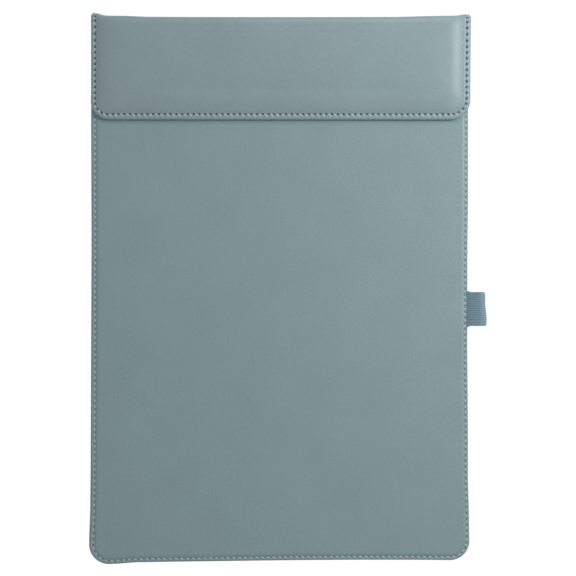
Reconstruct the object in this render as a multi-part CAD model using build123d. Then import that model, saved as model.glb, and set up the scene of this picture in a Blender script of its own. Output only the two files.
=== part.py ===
"""Writing board in leatherette with a padded magnetic flap and an elastic pen loop.

The board lies on its back: +Z is up out of the writing face, +Y points to the folded
spine at the top edge, +X to the pen loop. The origin is the middle of the back face.
All sizes are in millimetres.
"""
import os

from build123d import *

# Sizes of the board
board_width = 230.0
overall_length = 332.0
corner_radius = 12.0
top_corner_radius = 2.5
leather = 0.8
core_thickness = 2.4
core_margin = 4.0

# Sizes of the flap
flap_length = 64.0
flap_overhang_right = 1.5
flap_corner_radius = 11.5
lining = 0.6
flap_board_thickness = 1.5
flap_board_margin = 7.0
foam_thickness = 1.6
shoulder_run = 9.0
roll_run = 6.5
roll_rise = 3.3
magnet_diameter = 10.0
magnet_thickness = 1.2
magnet_count = 4
magnet_spacing = 52.0
magnet_from_edge = 13.0
keeper_length = 190.0
keeper_width = 18.0
keeper_thickness = 0.5

# Seams: distance of the thread from the edge on each side, and one stitch
board_seam_left = 2.6
board_seam_right = 1.7
board_seam_low = 2.2
flap_seam_left = 3.0
flap_seam_right = 2.0
flap_seam_low = 3.5
stitch_pitch = 3.5
stitch_length = 2.5
stitch_slant = 7.0
thread_width = 0.6
thread_height = 0.4
thread_proud = 0.12
groove_width = 1.3

# Sizes of the pen loop
loop_width = 21.0
loop_reach = 11.5
loop_diameter = 8.5
loop_centre = -12.7
webbing = 1.0
loop_neck_fillet = 1.0

# Clearances
hinge_gap = 0.3
rest_gap = 0.3
desk_gap = 0.1
magnet_clearance = 0.05
hem_rounding = 0.6
step_rounding = 0.5

# Levels and edges that follow from the sizes
half_width = board_width / 2
low_edge = -overall_length / 2
fold_edge = overall_length / 2
hem = 2 * leather
core_top = leather + core_thickness
board_top = core_top + leather
seam_level = hem
board_hem_top = 2 * hem
step_inset = core_margin - leather
spine_inside = fold_edge - leather - lining
board_end = spine_inside - hinge_gap

flap_bottom = board_top + rest_gap
lining_top = flap_bottom + lining
flap_board_top = lining_top + flap_board_thickness
foam_top = flap_board_top + foam_thickness
flap_top = foam_top + leather
flap_hem_top = lining_top + hem
flap_low = fold_edge - flap_length
flap_left = -half_width
flap_right = half_width + flap_overhang_right
roll_base = flap_top - roll_rise
roll_underside = roll_base - rest_gap / 2
spine_top = roll_underside - hinge_gap
spine_bottom = leather + hinge_gap
shoulder_rise = flap_top - flap_hem_top
pad_clear = thread_width + groove_width / 2
magnet_y = flap_low + magnet_from_edge

loop_pivot_x = half_width + hinge_gap + webbing
loop_radius = loop_diameter / 2
loop_centre_x = half_width + loop_reach - loop_radius
loop_centre_z = desk_gap + loop_radius


def block(x_range, y_range, z_range):
    """A plain block between the given limits."""
    sizes = [span[1] - span[0] for span in (x_range, y_range, z_range)]
    middle = [sum(span) / 2 for span in (x_range, y_range, z_range)]
    return Pos(*middle) * Box(*sizes)


def plate_outline(left, right, low, high, low_radius, high_radius=0):
    """Outline of a plate with rounded low corners and, if asked, rounded high ones."""
    face = Pos((left + right) / 2, (low + high) / 2) * Rectangle(right - left, high - low)
    face = fillet(face.vertices().group_by(Axis.Y)[0], low_radius)
    if high_radius:
        face = fillet(face.vertices().group_by(Axis.Y)[-1], high_radius)
    return face


def slab(face, bottom, top):
    """The outline raised from one level to another."""
    return Pos(0, 0, bottom) * extrude(face, top - bottom)


def round_top(part, radius):
    """Rounds the edges of the highest face."""
    return fillet(part.faces().sort_by(Axis.Z)[-1].edges(), radius)


def round_bottom(part, radius):
    """Rounds the edges of the lowest face."""
    return fillet(part.faces().sort_by(Axis.Z)[0].edges(), radius)


def board_outline(inset=0.0, high=board_end, high_radius=top_corner_radius):
    """The board's outline, taken in from its left, right and low edges."""
    return plate_outline(
        -half_width + inset,
        half_width - inset,
        low_edge + inset,
        high,
        corner_radius - inset,
        high_radius,
    )


def flap_outline(left_inset, right_inset, low_inset, high):
    """The flap's outline, taken in by its own amount on each free side."""
    return plate_outline(
        flap_left + left_inset,
        flap_right - right_inset,
        flap_low + low_inset,
        high,
        flap_corner_radius - low_inset,
    )


def seam_path(left, right, low, high, radius):
    """The line of a seam: down the left side, round the low corners and up the right."""
    corners = [(left, high), (left, low), (right, low), (right, high)]
    return FilletPolyline(*corners, radius=radius)


def board_seam():
    """The seam line along the board's three free edges."""
    return seam_path(
        -half_width + board_seam_left,
        half_width - board_seam_right,
        low_edge + board_seam_low,
        board_end,
        corner_radius - board_seam_low,
    )


def flap_seam(high):
    """The seam line along the flap's three free edges."""
    return seam_path(
        flap_left + flap_seam_left,
        flap_right - flap_seam_right,
        flap_low + flap_seam_low,
        high,
        flap_corner_radius - flap_seam_low,
    )


def seam_groove(path, bottom, top):
    """The channel that the thread pulls into the leather along a seam line."""
    start = path @ 0
    section = Plane(origin=start, z_dir=path % 0) * Rectangle(groove_width, groove_width)
    channel = sweep(section, path=path)
    reach = overall_length + board_width
    return channel_between(channel, bottom, top, reach)


def channel_between(channel, bottom, top, reach):
    """Moves a square channel so that it only cuts between two levels."""
    middle = groove_width / 2
    lowered = Pos(0, 0, bottom + middle) * channel
    keep = block((-reach, reach), (-reach, reach), (bottom, top))
    return lowered & keep


def stitches(path, bottom, top):
    """One short, slightly slanted length of thread for each stitch of a seam."""
    count = int(path.length / stitch_pitch)
    pieces = []
    for index in range(count):
        share = (index + 0.5) / count
        place = path @ share
        heading = (path % share).get_signed_angle(Vector(1, 0, 0), Vector(0, 0, -1))
        thread = Box(stitch_length, thread_width, top - bottom)
        turned = Rot(0, 0, heading + stitch_slant) * thread
        pieces.append(Pos(place.X, place.Y, (bottom + top) / 2) * turned)
    return Compound(children=pieces)


def side_profile(low, high, bottom, top, low_shoulder, high_shoulder):
    """Side view of a pad whose top falls away at each end in part of an ellipse.

    Each shoulder is a pair: how far in it starts, and how far it falls.
    """
    low_run, low_fall = low_shoulder
    high_run, high_fall = high_shoulder
    face = upright(low + low_run, high - high_run, bottom, top)
    face += upright(low, high - high_run, bottom, top - low_fall)
    face += upright(low + low_run, high, bottom, top - high_fall)
    face += Pos(low + low_run, top - low_fall) * Ellipse(low_run, low_fall)
    face += Pos(high - high_run, top - high_fall) * Ellipse(high_run, high_fall)
    return face & upright(low, high, bottom, top)


def upright(low, high, bottom, top):
    """A rectangle in a side view."""
    return Pos((low + high) / 2, (bottom + top) / 2) * Rectangle(high - low, top - bottom)


def pad_body(shrink):
    """The padded form of the flap; shrink takes one leather thickness off all round."""
    shoulder = (shoulder_run, shoulder_rise)
    left = flap_left + flap_seam_left + pad_clear + shrink
    right = flap_right - flap_seam_right - pad_clear - shrink
    low = flap_low + flap_seam_low + pad_clear + shrink
    top = flap_top - shrink
    across = side_profile(left, right, lining_top, top, shoulder, shoulder)
    roll = (roll_run, roll_rise)
    along = side_profile(low, fold_edge - shrink, lining_top, top, shoulder, roll)
    plan = plate_outline(left, right, low, fold_edge - shrink, flap_corner_radius / 2)
    body = slab(plan, lining_top, top)
    body &= extrude(Plane.XZ * across, overall_length, both=True)
    body &= extrude(Plane.YZ * along, board_width, both=True)
    return body


def fold_roll():
    """The space under the leather's roll over the fold, across the whole flap."""
    roll = (roll_run, roll_rise)
    side = side_profile(
        flap_low - hem, fold_edge, flap_bottom, flap_top, (hem, hem), roll
    )
    return extrude(Plane.YZ * side, board_width, both=True)


def spine_room():
    """The space above the spine that the flap leaves free."""
    span = (-board_width, board_width)
    return block(span, (board_end, fold_edge + hem), (0, roll_underside))


def loop_tails_block():
    """The two sewn-in tails of the pen loop, pressed flat between the covers."""
    return block(
        (half_width - core_margin, half_width),
        (loop_centre - loop_width / 2, loop_centre + loop_width / 2),
        (seam_level - webbing, seam_level + webbing),
    )


def core_block():
    """The fibreboard before it is cut for the keeper strip."""
    outline = board_outline(core_margin, board_end - leather)
    return slab(outline, leather, core_top)


def keeper_block():
    """The steel strip that the magnets pull."""
    return block(
        (-keeper_length / 2, keeper_length / 2),
        (magnet_y - keeper_width / 2, magnet_y + keeper_width / 2),
        (core_top - keeper_thickness, core_top),
    )


def magnet_discs(radius):
    """The row of flat disc magnets near the flap's free edge."""
    middle = (flap_left + flap_right) / 2
    first = middle - magnet_spacing * (magnet_count - 1) / 2
    level = lining_top + magnet_thickness / 2
    discs = []
    for index in range(magnet_count):
        place = Pos(first + index * magnet_spacing, magnet_y, level)
        discs.append(place * Cylinder(radius, magnet_thickness))
    return discs


def make_board_core():
    """The stiff fibreboard with its recess for the keeper strip."""
    return core_block() - keeper_block()


def make_back_cover():
    """Leather of the back with its turned hem, up to the fold at the spine."""
    cover = slab(board_outline(), 0, seam_level)
    cover = round_bottom(cover, hem_rounding)
    lip = block(
        (-half_width + top_corner_radius, half_width - top_corner_radius),
        (board_end - corner_radius, fold_edge),
        (0, leather),
    )
    lip = fillet(lip.edges().group_by(Axis.Y)[-1].group_by(Axis.Z)[0], leather / 2)
    cover += lip
    cover -= core_block()
    cover -= loop_tails_block()
    return cover - seam_groove(board_seam(), 0, thread_height)


def make_front_cover():
    """Leather of the writing face: a turned hem and a low step up over the core."""
    cover = round_top(slab(board_outline(), seam_level, board_hem_top), hem_rounding)
    raised = slab(board_outline(step_inset), seam_level, board_top)
    cover += round_top(raised, step_rounding)
    cover -= core_block()
    cover -= loop_tails_block()
    top = board_hem_top + leather
    return cover - seam_groove(board_seam(), board_hem_top - thread_height, top)


def make_front_stitches():
    """Thread of the board's seam on the writing side."""
    bottom = board_hem_top - thread_height
    return stitches(board_seam(), bottom, board_hem_top + thread_proud)


def make_back_stitches():
    """Thread of the board's seam on the back, sunk below the face it rests on."""
    return stitches(board_seam(), thread_proud / 2, thread_height)


def make_spine_leather():
    """Outer leather of the spine, standing between the two folds."""
    return block(
        (-half_width, half_width),
        (fold_edge - leather, fold_edge),
        (spine_bottom, spine_top),
    )


def make_spine_lining():
    """Lining of the spine, glued to the inside of its leather."""
    return block(
        (-half_width, half_width),
        (spine_inside, fold_edge - leather),
        (spine_bottom, spine_top),
    )


def make_flap_lining():
    """Lining of the flap, the face that presses on the paper."""
    face = slab(flap_outline(lining, lining, lining, board_end), flap_bottom, lining_top)
    return face - seam_groove(flap_seam(board_end), flap_bottom, flap_bottom + lining / 2)


def flap_board_slab():
    """The stiffener before its pockets are cut."""
    margin = flap_board_margin
    outline = flap_outline(margin, margin, margin, board_end - roll_run)
    return slab(outline, lining_top, flap_board_top)


def make_flap_board():
    """Stiffener of the flap with a pocket for each magnet."""
    board = flap_board_slab()
    for disc in magnet_discs(magnet_diameter / 2 + magnet_clearance):
        board -= disc
    return board


def flap_filling():
    """The whole inside of the flap's padded form."""
    return pad_body(leather) - spine_room()


def make_flap_foam():
    """Foam over and around the stiffener."""
    return flap_filling() - flap_board_slab()


def make_flap_leather():
    """Outer leather of the flap: hem, padded form and the roll over the fold."""
    hem_slab = slab(flap_outline(0, 0, 0, fold_edge), lining_top, flap_hem_top)
    hem_slab = round_top(hem_slab, hem_rounding)
    cover = (hem_slab + pad_body(0)) & fold_roll()
    cover -= flap_filling()
    cover -= spine_room()
    bottom = flap_hem_top - thread_height
    return cover - seam_groove(flap_seam(fold_edge), bottom, flap_top)


def make_flap_stitches():
    """Thread of the flap's seam on the outside."""
    bottom = flap_hem_top - thread_height
    return stitches(flap_seam(board_end), bottom, flap_hem_top + thread_proud)


def make_flap_lining_stitches():
    """Thread of the flap's seam on the lining side."""
    bottom = flap_bottom + thread_proud / 2
    return stitches(flap_seam(board_end), bottom, flap_bottom + lining / 2)


def make_pen_loop():
    """Elastic webbing: a neck at the seam that opens into a round loop for a pen."""
    neck = Pos(loop_pivot_x, seam_level) * Circle(webbing)
    neck += upright(
        loop_pivot_x, loop_centre_x, seam_level - webbing, seam_level + webbing
    )
    centre = Pos(loop_centre_x, loop_centre_z)
    profile = neck + centre * Circle(loop_radius)
    inner_corners = profile.vertices().filter_by(
        lambda v: loop_pivot_x + webbing < v.X < loop_centre_x
    )
    profile = fillet(inner_corners, loop_neck_fillet)
    profile -= centre * Circle(loop_radius - webbing)
    loop = extrude(Plane.XZ * profile, loop_width / 2, both=True)
    return Pos(0, loop_centre, 0) * loop


sub_parts = {
    "board_core": make_board_core(),
    "keeper_plate": keeper_block(),
    "back_cover": make_back_cover(),
    "front_cover": make_front_cover(),
    "front_stitches": make_front_stitches(),
    "back_stitches": make_back_stitches(),
    "pen_loop_tails": loop_tails_block(),
    "pen_loop": make_pen_loop(),
    "spine_leather": make_spine_leather(),
    "spine_lining": make_spine_lining(),
    "flap_lining": make_flap_lining(),
    "flap_board": make_flap_board(),
    "flap_magnets": Compound(children=magnet_discs(magnet_diameter / 2)),
    "flap_foam": make_flap_foam(),
    "flap_leather": make_flap_leather(),
    "flap_stitches": make_flap_stitches(),
    "flap_lining_stitches": make_flap_lining_stitches(),
}

os.makedirs("parts", exist_ok=True)
for name, shape in sub_parts.items():
    export_step(shape, f"parts/{name}.step")
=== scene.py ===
# %% [markdown]
# A writing board covered in grained leatherette, seen from straight above. A padded flap
# covers its top fifth and folds over the top edge, and an elastic pen loop stands out of
# the right-hand seam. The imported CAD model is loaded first, as a frame that nothing moves:
# every skin, stitch and loop made here goes where that frame says. All sizes below are in
# millimetres and become metres when a mesh is finished.

# %% Load the frame
import math

import bmesh
import bpy
import numpy as np
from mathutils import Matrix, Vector


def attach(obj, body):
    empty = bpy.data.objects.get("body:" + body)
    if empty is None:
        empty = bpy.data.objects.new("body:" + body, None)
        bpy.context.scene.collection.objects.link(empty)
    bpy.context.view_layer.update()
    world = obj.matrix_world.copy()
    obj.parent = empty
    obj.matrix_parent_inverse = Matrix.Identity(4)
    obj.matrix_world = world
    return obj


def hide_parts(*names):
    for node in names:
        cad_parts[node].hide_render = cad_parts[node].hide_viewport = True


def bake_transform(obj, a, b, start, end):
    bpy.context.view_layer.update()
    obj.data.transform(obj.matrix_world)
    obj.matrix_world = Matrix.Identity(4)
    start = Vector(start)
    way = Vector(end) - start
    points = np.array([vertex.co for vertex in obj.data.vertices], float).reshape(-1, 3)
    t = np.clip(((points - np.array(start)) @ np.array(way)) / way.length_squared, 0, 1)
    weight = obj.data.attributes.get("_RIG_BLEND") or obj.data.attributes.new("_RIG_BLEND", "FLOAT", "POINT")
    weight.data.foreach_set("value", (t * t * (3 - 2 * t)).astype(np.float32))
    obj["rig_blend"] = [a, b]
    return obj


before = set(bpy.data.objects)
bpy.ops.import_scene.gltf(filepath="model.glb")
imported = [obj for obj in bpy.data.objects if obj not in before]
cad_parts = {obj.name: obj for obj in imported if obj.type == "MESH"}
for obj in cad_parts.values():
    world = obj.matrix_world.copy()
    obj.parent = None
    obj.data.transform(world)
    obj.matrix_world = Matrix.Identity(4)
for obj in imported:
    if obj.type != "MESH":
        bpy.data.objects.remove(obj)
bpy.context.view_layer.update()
mm = 0.001

# %% [markdown]
# The sizes of the real board, the same ones that the CAD model was made from. Leather is
# 0.8 mm thick and is turned over at the edge, so the stitched hem is lower than the face.
# The seams lie a little further in on some sides, as they do in the photograph.

# %% Sizes of the board and the flap
half_width = 115.0
low_edge = -166.0
fold_edge = 166.0
leather = 0.8
lining = 0.6
board_radius = 12.0
board_top = 4.0
board_end = 164.3

flap_low = 102.0
flap_radius = 11.5
flap_overhang = 1.5
flap_under = 4.3
flap_face = 8.8
flap_hem = 6.5
middle_of_spine = 3.1

board_seam = {"left": 2.4, "right": 1.7, "low": 2.0}
flap_seam = {"left": 2.5, "right": 2.45, "low": 3.6}
stitch_pitch = 3.5
print("board", 2 * half_width, "by", fold_edge - low_edge, "mm, flap", fold_edge - flap_low, "mm")

# %% [markdown]
# Two small helpers. An operator works on everything that is selected, so each step starts
# by deselecting all. Points are then chosen in code, by where they are.

# %% Helpers for selecting and for edit mode
def start_afresh():
    """Leaves object mode as the only thing going on, with nothing selected."""
    if bpy.context.mode != "OBJECT":
        bpy.ops.object.mode_set(mode="OBJECT")
    bpy.ops.object.select_all(action="DESELECT")


def work_on(piece):
    """Makes one piece the only selected and active one."""
    start_afresh()
    piece.select_set(True)
    bpy.context.view_layer.objects.active = piece


def named(piece, name):
    """Gives a piece and its mesh the same name."""
    piece.name = name
    piece.data.name = name
    return piece


def points_of(piece):
    """The points of a mesh as an array, one row each."""
    flat = np.zeros(len(piece.data.vertices) * 3)
    piece.data.vertices.foreach_get("co", flat)
    return flat.reshape(-1, 3)


def put_points(piece, points):
    """Moves every point of a mesh to its row of an array."""
    piece.data.vertices.foreach_set("co", np.asarray(points, float).ravel())
    piece.data.update()


def smooth(piece, angle):
    """Smooth shading, with an edge wherever two faces turn by more than the angle."""
    work_on(piece)
    bpy.ops.object.shade_smooth_by_angle(angle=math.radians(angle))


# %% [markdown]
# Many shapes here rise or fade smoothly over a given stretch. One small function does it
# for numbers and for whole arrays alike.

# %% A smooth step
def ease(value, start, end):
    """0 before start, 1 after end, and smooth between them."""
    t = np.clip((value - start) / (end - start), 0, 1)
    return t * t * (3 - 2 * t)


print("half way up a smooth step:", ease(5, 0, 10))

# %% [markdown]
# A leather sheet with a stitched edge needs very fine faces along its seam and only coarse
# ones in the middle. So it starts as a plain grid. The grid's edge is extruded once, the
# new edge is cut into six, and that fine edge is extruded ring by ring. Each point keeps
# the number of its ring, and the shape of the hem is then given ring by ring. The faces
# between coarse and fine have many sides, so they become triangles, which bend cleanly.

# %% A grid with fine rings round it
def select_outer_edge():
    """Selects only the edges that have a face on one side."""
    bpy.ops.mesh.select_all(action="DESELECT")
    bpy.ops.mesh.select_mode(type="EDGE")
    bpy.ops.mesh.select_non_manifold(
        extend=False, use_wire=False, use_boundary=True,
        use_multi_face=False, use_non_contiguous=False, use_verts=False,
    )


def mark_selected(piece, number):
    """Writes the ring's number on the points that are selected."""
    mesh = bmesh.from_edit_mesh(piece.data)
    layer = mesh.verts.layers.float["ring"]
    for point in mesh.verts:
        if point.select:
            point[layer] = number
    bmesh.update_edit_mesh(piece.data)


def ringed_grid(name, columns, rows, ring_count, fineness=6):
    """A grid one unit wide and long, with rings of fine faces round it."""
    start_afresh()
    bpy.ops.mesh.primitive_grid_add(x_subdivisions=columns, y_subdivisions=rows, size=1)
    piece = named(bpy.context.object, name)
    piece.data.attributes.new("ring", "FLOAT", "POINT")
    bpy.ops.object.mode_set(mode="EDIT")
    bpy.ops.mesh.select_all(action="SELECT")
    mark_selected(piece, -1)
    for number in range(ring_count):
        select_outer_edge()
        bpy.ops.mesh.extrude_edges_move()
        grow = 1 + 0.02 / (1 + 0.02 * number)
        bpy.ops.transform.resize(value=(grow, grow, 1))
        if number == 0:
            bpy.ops.mesh.subdivide(number_cuts=fineness - 1)
            select_outer_edge()
        mark_selected(piece, number)
    bpy.ops.mesh.select_mode(type="FACE")
    bpy.ops.mesh.select_all(action="DESELECT")
    bpy.ops.mesh.select_face_by_sides(number=4, type="GREATER")
    bpy.ops.mesh.quads_convert_to_tris(quad_method="BEAUTY", ngon_method="CLIP")
    bpy.ops.object.mode_set(mode="OBJECT")
    return piece


# %% [markdown]
# A ring's points lie on a rectangle with rounded corners. Every point of the grid's edge
# belongs to one of four sides, from the middle of one corner to the middle of the next.
# For each side, this gives which way is outward and which way is onward round the ring.

# %% The side that a point belongs to
sides = {
    "low": ((0, -1), (1, 0)),
    "right": ((1, 0), (0, 1)),
    "high": ((0, 1), (-1, 0)),
    "left": ((-1, 0), (0, -1)),
}


def side_and_share(points):
    """For points on a centred square's edge: the side's name and the share along it."""
    reach = np.maximum(np.abs(points[:, 0]), np.abs(points[:, 1]))
    x, y = points[:, 0] / reach, points[:, 1] / reach
    names = np.where(
        y <= -0.999999, "low", np.where(y >= 0.999999, "high", np.where(x > 0, "right", "left"))
    )
    run = {"low": x, "right": y, "high": -x, "left": -y}
    share = np.zeros(len(x))
    for name in sides:
        share = np.where(names == name, (run[name] + 1) / 2, share)
    return names, share


print("sides of a ring:", ", ".join(sides))


# %% [markdown]
# The same share of a side gives matching points on every ring, so the rings line up. Half
# a corner takes the first and the last part of each side, and the rest of it is straight.

# %% Where the points of a ring go
def rounded_box(limits, radii, bends, names, share):
    """Points on a rounded rectangle. bends is the share of each side that its corners take."""
    left, right, low, high = limits
    low_radius, high_radius = radii
    corners = {
        "low": ((left, low, low_radius), (right, low, low_radius)),
        "right": ((right, low, low_radius), (right, high, high_radius)),
        "high": ((right, high, high_radius), (left, high, high_radius)),
        "left": ((left, high, high_radius), (left, low, low_radius)),
    }
    made = np.zeros((len(share), 2))
    for name, (outward, onward) in sides.items():
        chosen = names == name
        if not chosen.any():
            continue
        out, on = np.array(outward, float), np.array(onward, float)
        (ax, ay, ar), (bx, by, br) = corners[name]
        a = np.array([ax, ay]) - out * ar + on * ar
        b = np.array([bx, by]) - out * br - on * br
        first, last = bends[name]
        s = share[chosen][:, None]
        turn_a = math.pi / 4 * (1 - s / max(first, 1e-9))
        turn_b = math.pi / 4 * (s - 1 + last) / max(last, 1e-9)
        along = np.clip((s - first) / max(1 - first - last, 1e-9), 0, 1)
        spot = (a + out * ar) * (1 - along) + (b + out * br) * along
        on_a = a + ar * (out * np.cos(turn_a) - on * np.sin(turn_a))
        on_b = b + br * (out * np.cos(turn_b) + on * np.sin(turn_b))
        spot = np.where(s < first, on_a, spot)
        spot = np.where(s > 1 - last, on_b, spot)
        made[chosen] = spot
    return made


def side_bends(limits, radii):
    """The share of each side that half a corner takes at its start and at its end."""
    left, right, low, high = limits
    arc = [radius * math.pi / 4 for radius in radii]
    wide, tall = right - left, high - low
    low_long = wide - 2 * radii[0] + 2 * arc[0]
    high_long = wide - 2 * radii[1] + 2 * arc[1]
    side_long = tall - sum(radii) + sum(arc)
    return {
        "low": (arc[0] / low_long, arc[0] / low_long),
        "right": (arc[0] / side_long, arc[1] / side_long),
        "high": (arc[1] / high_long, arc[1] / high_long),
        "left": (arc[1] / side_long, arc[0] / side_long),
    }


board_bends = side_bends((-half_width, half_width, low_edge, board_end), (board_radius, 0.0))
print("half a corner's share of the low edge:", round(board_bends["low"][0], 3))


# %% [markdown]
# The seam runs down the left side, round the two low corners and up the right side. For
# any point of the sheet, this gives how far along the seam it is and how far inside it.
# The stitches, the needle holes and the puckers of the hem all use these two numbers.

# %% The line of a seam
class Seam:
    """A seam line down the left side, along the low edge and up the right side."""

    def __init__(self, outline, insets, radius, top):
        left, right, low, high = outline
        self.left = left + insets["left"]
        self.right = right - insets["right"]
        self.low = low + insets["low"]
        self.top = top
        self.radius = radius - insets["low"]
        self.down = self.top - self.low - self.radius
        self.quarter = self.radius * math.pi / 2
        self.across = self.right - self.left - 2 * self.radius
        self.length = 2 * self.down + 2 * self.quarter + self.across
        self.count = int(self.length / stitch_pitch)
        self.pitch = self.length / self.count

    def along_and_inside(self, x, y):
        """How far along the seam each point is, and how far inside the seam."""
        r = self.radius
        cy = self.low + r
        left_c, right_c = self.left + r, self.right - r
        down = self.top - y
        turn_l = np.arctan2(np.maximum(cy - y, 0), np.maximum(left_c - x, 1e-9))
        turn_r = np.arctan2(np.maximum(x - right_c, 1e-9), np.maximum(cy - y, 1e-9))
        in_left = (x < left_c) & (y < cy)
        in_right = (x > right_c) & (y < cy)
        to_left, to_right, to_low = x - self.left, self.right - x, y - self.low
        near_side = np.minimum(to_left, to_right)
        inside = np.minimum(near_side, to_low)
        along = np.where(
            to_low < near_side,
            self.down + self.quarter + np.clip(x - left_c, 0, self.across),
            np.where(
                to_left < to_right,
                np.clip(down, -5, self.down),
                self.length - np.clip(down, -5, self.down),
            ),
        )
        corner_l = r - np.hypot(left_c - x, cy - y)
        corner_r = r - np.hypot(x - right_c, cy - y)
        inside = np.where(in_left, corner_l, np.where(in_right, corner_r, inside))
        along = np.where(in_left, self.down + turn_l * r, along)
        start_r = self.down + self.quarter + self.across
        along = np.where(in_right, start_r + turn_r * r, along)
        return along, inside

    def place(self, along):
        """The point and the heading of the seam that far along it."""
        r = self.radius
        if along < self.down:
            return self.left, self.top - along, -math.pi / 2
        along -= self.down
        if along < self.quarter:
            turn = along / r
            x = self.left + r - r * math.cos(turn)
            return x, self.low + r - r * math.sin(turn), turn - math.pi / 2
        along -= self.quarter
        if along < self.across:
            return self.left + r + along, self.low, 0.0
        along -= self.across
        if along < self.quarter:
            turn = along / r
            x = self.right - r + r * math.sin(turn)
            return x, self.low + r - r * math.cos(turn), turn
        along -= self.quarter
        return self.right, self.low + r + along, math.pi / 2


board_outline = (-half_width, half_width, low_edge, board_end)
flap_outline = (-half_width, half_width + flap_overhang, flap_low, fold_edge)
board_line = Seam(board_outline, board_seam, board_radius, board_end)
flap_line = Seam(flap_outline, flap_seam, flap_radius, 168.4)
print("stitches:", board_line.count, "round the board,", flap_line.count, "round the flap")

# %% [markdown]
# A real board is never quite straight: its low corners flare a little, and the stitched
# ends of the fold stand up as small ears. Each table has places along an edge and how far
# the real edge lies out there. One function shifts every piece in the same way.

# %% How the real edge departs from straight lines
left_marks = (
    [-166, -160, -154, -148, -136, -117, -93, 29, 100, 112, 120, 166],
    [1.3, 1.3, 1.15, 1.0, 0.5, 0.27, 0.12, -0.33, -0.1, -0.1, -0.27, -0.27],
)
right_marks = (
    [-166, -154, -148, -136, -117, -93, -68, -35, 5, 29, 54, 112, 120, 139, 152, 166],
    [1.6, 1.6, 1.5, 1.33, 0.75, 0.75, 0.61, 0.32, 0.39, 0.49, 0.8, 0.87, 0.5, 0.6, 0.72, 0.93],
)
low_marks = (
    [-115, -104, -97, -87, -65, -24, 13, 50, 74, 92, 102, 110, 115],
    [2.9, 3.0, 2.7, 1.9, 1.55, 1.0, 0.54, 0.33, 0.34, 0.4, 0.55, 0.8, 0.8],
)
pull_at_fold = 1.0


def ear_height(x):
    """How far the ends of the fold stand up, for a place across the board."""
    from_left, from_right = x + half_width, half_width - x
    ear = 1.8 * np.exp(-(np.maximum(from_left, 0) / 6) ** 2) + 0.7 * np.exp(-from_left / 28)
    ear += 0.8 * np.exp(-(np.maximum(from_right, 0) / 6) ** 2) + 0.6 * np.exp(-from_right / 28)
    ear -= 0.45 * ease(from_left, 20, 36) * ease(from_right, 18, 46)
    return ear


def shape_of_use(x, y, ears=1.0):
    """The small shifts that handling gave the real board's edges, in millimetres."""
    side = np.abs(x / half_width) ** 3
    dx = np.where(x < 0, -np.interp(y, *left_marks), np.interp(y, *right_marks)) * side
    at_fold = ease(y, 162.8, 166) ** 2
    dx = dx - np.sign(x) * pull_at_fold * at_fold * ease(np.abs(x), 104, 115)
    dy = -np.interp(x, *low_marks) * ease(-y, 100, 166) ** 2
    return dx, dy + ear_height(x) * ease(y, 146, 165) * ears


print("ears at the left and right end:", ear_height(np.array([-half_width, half_width])).round(2))

# %% [markdown]
# Each sheet of leather is laid out flat first, with its length measured along the leather,
# and is then wrapped: its top end follows a path over the fold. A path is a side view of
# the sheet, with a smooth arc at each corner. The outer leather is one sheet from the
# board's back to the flap's face. It is made in two halves, each bending over one fold,
# that meet in the middle of the spine.

# %% Paths over the fold
def path_of(corners, steps=14):
    """A smooth path in the side view: straight runs, and an arc of points at each corner.

    Each corner is (y, z, reach before it, reach after it). Gives the points, how far
    along the path they are and which way it heads.
    """
    points = [np.array(corners[0][:2], float)]
    for before, here, after in zip(corners, corners[1:], corners[2:]):
        p = np.array(here[:2], float)
        a = np.array(before[:2], float) - p
        b = np.array(after[:2], float) - p
        a, b = a / np.linalg.norm(a), b / np.linalg.norm(b)
        for t in np.linspace(0, 1, steps):
            start, end = p + a * here[2], p + b * here[-1]
            points.append((1 - t) ** 2 * start + 2 * t * (1 - t) * p + t ** 2 * end)
    points.append(np.array(corners[-1][:2], float))
    points = np.array(points)
    run = np.concatenate([[0], np.cumsum(np.linalg.norm(np.diff(points, axis=0), axis=1))])
    keep = np.concatenate([[True], np.diff(run) > 1e-9])
    points, run = points[keep], run[keep]
    heading = np.gradient(points, run, axis=0)
    heading /= np.linalg.norm(heading, axis=1)[:, None]
    return points, run, heading


def along_path(path, run):
    """The point and heading of a path that far along it."""
    points, lengths, heading = path
    spot = np.stack([np.interp(run, lengths, points[:, k]) for k in (0, 1)], axis=1)
    turn = np.stack([np.interp(run, lengths, heading[:, k]) for k in (0, 1)], axis=1)
    turn /= np.linalg.norm(turn, axis=1)[:, None]
    return spot, turn


corner_path = path_of([(0, 0), (10, 0, 3), (10, 10)])
print("20 mm round a soft corner is", round(float(corner_path[1][-1]), 1), "mm of leather")


# %% [markdown]
# To wrap a sheet, each flat point is laid on the path, some way below the face, and then
# gets the small shifts of use. Some sheets also shift a little of their own.

# %% Wrapping a flat sheet on its path
def wrapping(path, facing, start, shift=None, ears=None):
    """A function that lays flat points of a sheet on its path, some way below its face."""
    def wrap(x, run, drop):
        spot, heading = along_path(path, run - start)
        normal = np.stack([-heading[:, 1], heading[:, 0]], axis=1) * facing
        y, z = (spot - normal * np.asarray(drop)[:, None]).T
        if shift is not None:
            more_x, more_y = shift(x, run)
            x, y = x + more_x, y + more_y
        dx, dy = shape_of_use(x, y, 1.0 if ears is None else ears(run))
        return np.stack([x + dx, y + dy, z], axis=1) * mm
    return wrap


# %% [markdown]
# The hem of a turned and stitched edge, from the middle outwards. Each ring says where it
# lies and how high it is. The leather falls from the face to the hem just inside the
# seam, dips under the thread, swells again outside it, and rounds over at the edge. The
# last ring of all is the side wall of the hem.

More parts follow.
